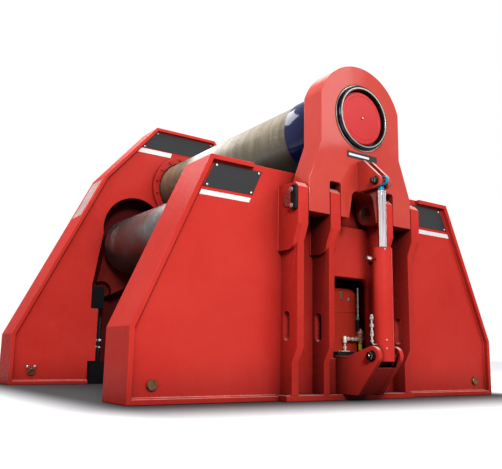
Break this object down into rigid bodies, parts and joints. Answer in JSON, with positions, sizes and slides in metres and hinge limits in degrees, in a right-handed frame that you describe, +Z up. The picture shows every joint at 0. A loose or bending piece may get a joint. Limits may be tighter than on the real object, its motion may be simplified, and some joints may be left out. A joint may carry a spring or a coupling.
{
  "type": "four-roll plate rolling machine",
  "caption": "Four-roll plate bending machine with a tilting yoke at the drop end, plate end frames, swinging side rolls and a tilt cylinder.",
  "frame": {"origin": "on the floor, midway between the two end frames, on the underside of the bed", "axes": "+X across the machine, +Y along the rolls towards the drive end, +Z up"},
  "size_m": [3, 3.338, 2.385],
  "materials": {
    "red_enamel": "gloss enamel",
    "roll_steel": "turned and oiled",
    "bright_steel": "machined",
    "black_enamel": "satin enamel",
    "blue_enamel": "gloss enamel",
    "rod_chrome": "hard chrome",
    "fitting_brass": "satin"
  },
  "bodies": {
    "root": {"near_front_web": "red_enamel", "near_rear_web": "red_enamel", "near_left_flange": "red_enamel", "near_right_flange": "red_enamel", "near_sole": "red_enamel", "rib_outer_left": "red_enamel", "rib_inner_left": "red_enamel", "rib_inner_right": "red_enamel", "rib_outer_right": "red_enamel", "centre_web": "red_enamel", "hinge_pins": "bright_steel", "pin_keeper": "black_enamel", "tilt_bracket": "red_enamel", "valve_panel": "red_enamel", "valve_fittings": "fitting_brass", "near_jambs": "red_enamel", "near_block": "red_enamel", "bottom_roll": "roll_steel", "swing_pins": "bright_steel", "lift_feet": "black_enamel", "far_inner_web": "red_enamel", "far_outer_web": "red_enamel", "far_left_flange": "red_enamel", "far_right_flange": "red_enamel", "far_bearing": "red_enamel", "far_block": "red_enamel", "top_drive": "red_enamel", "bottom_drive": "red_enamel", "bed_left_beam": "red_enamel", "bed_right_beam": "red_enamel", "bed_cross_beam": "red_enamel"},
    "yoke": {"yoke": "red_enamel", "yoke_bearing": "bright_steel", "yoke_cover": "red_enamel", "yoke_lugs": "red_enamel"},
    "tilt_barrel": {"tilt_barrel": "red_enamel"},
    "tilt_rod": {"tilt_rod": "rod_chrome"},
    "top_roll": {"top_roll": "roll_steel", "roll_collar": "blue_enamel"},
    "left_swing": {"near_left_arm": "red_enamel", "far_left_arm": "red_enamel"},
    "right_swing": {"near_right_arm": "red_enamel", "far_right_arm": "red_enamel"},
    "left_roll": {"left_roll": "roll_steel"},
    "right_roll": {"right_roll": "roll_steel"},
    "left_lift": {"left_lift_barrels": "black_enamel"},
    "left_lift_rod": {"left_lift_rods": "black_enamel"},
    "right_lift": {"right_lift_barrels": "black_enamel"},
    "right_lift_rod": {"right_lift_rods": "black_enamel"}
  },
  "joints": [
    {"name": "yoke_tilt", "type": "hinge", "parent": "root", "child": "yoke", "pos_m": [0, -1.35, 1.2], "axis": [1, 0, 0], "range_deg": [0, 60]},
    {"name": "tilt_cylinder_swing", "type": "hinge", "parent": "root", "child": "tilt_barrel", "pos_m": [0, -1.601, 0.27], "axis": [1, 0, 0], "range_deg": [0, 0.6]},
    {"name": "tilt_rod_slide", "type": "slide", "parent": "tilt_barrel", "child": "tilt_rod", "axis": [0, 0, 1], "range_m": [-0.2904, 0]},
    {"name": "top_roll_spin", "type": "hinge", "parent": "root", "child": "top_roll", "pos_m": [0, 0, 1.815], "axis": [0, 1, 0], "continuous": true},
    {"name": "left_arm_swing", "type": "hinge", "parent": "root", "child": "left_swing", "pos_m": [-0.215, 0, 1.075], "axis": [0, 1, 0], "range_deg": [0, 27]},
    {"name": "left_roll_spin", "type": "hinge", "parent": "left_swing", "child": "left_roll", "pos_m": [-0.54, 0, 1.2], "axis": [0, 1, 0], "continuous": true},
    {"name": "left_lift_swing", "type": "hinge", "parent": "root", "child": "left_lift", "pos_m": [-0.75, 0, 0.15], "axis": [0, 1, 0], "range_deg": [-4.45, 0]},
    {"name": "left_lift_slide", "type": "slide", "parent": "left_lift", "child": "left_lift_rod", "axis": [0, 0, 1], "range_m": [0, 0.2768]},
    {"name": "right_arm_swing", "type": "hinge", "parent": "root", "child": "right_swing", "pos_m": [0.215, 0, 1.075], "axis": [0, -1, 0], "range_deg": [0, 27]},
    {"name": "right_roll_spin", "type": "hinge", "parent": "right_swing", "child": "right_roll", "pos_m": [0.54, 0, 1.2], "axis": [0, 1, 0], "continuous": true},
    {"name": "right_lift_swing", "type": "hinge", "parent": "root", "child": "right_lift", "pos_m": [0.75, 0, 0.15], "axis": [0, -1, 0], "range_deg": [-4.45, 0]},
    {"name": "right_lift_slide", "type": "slide", "parent": "right_lift", "child": "right_lift_rod", "axis": [0, 0, 1], "range_m": [0, 0.2768]}
  ],
  "couplings": [
    {"joint": "tilt_cylinder_swing", "follows": "yoke_tilt", "ratio": 0.01},
    {"joint": "tilt_rod_slide", "follows": "yoke_tilt", "m_per_rad": -0.27725},
    {"joint": "left_lift_swing", "follows": "left_arm_swing", "ratio": -0.1647},
    {"joint": "left_lift_slide", "follows": "left_arm_swing", "m_per_rad": 0.58719},
    {"joint": "right_lift_swing", "follows": "right_arm_swing", "ratio": -0.1647},
    {"joint": "right_lift_slide", "follows": "right_arm_swing", "m_per_rad": 0.58719}
  ]
}
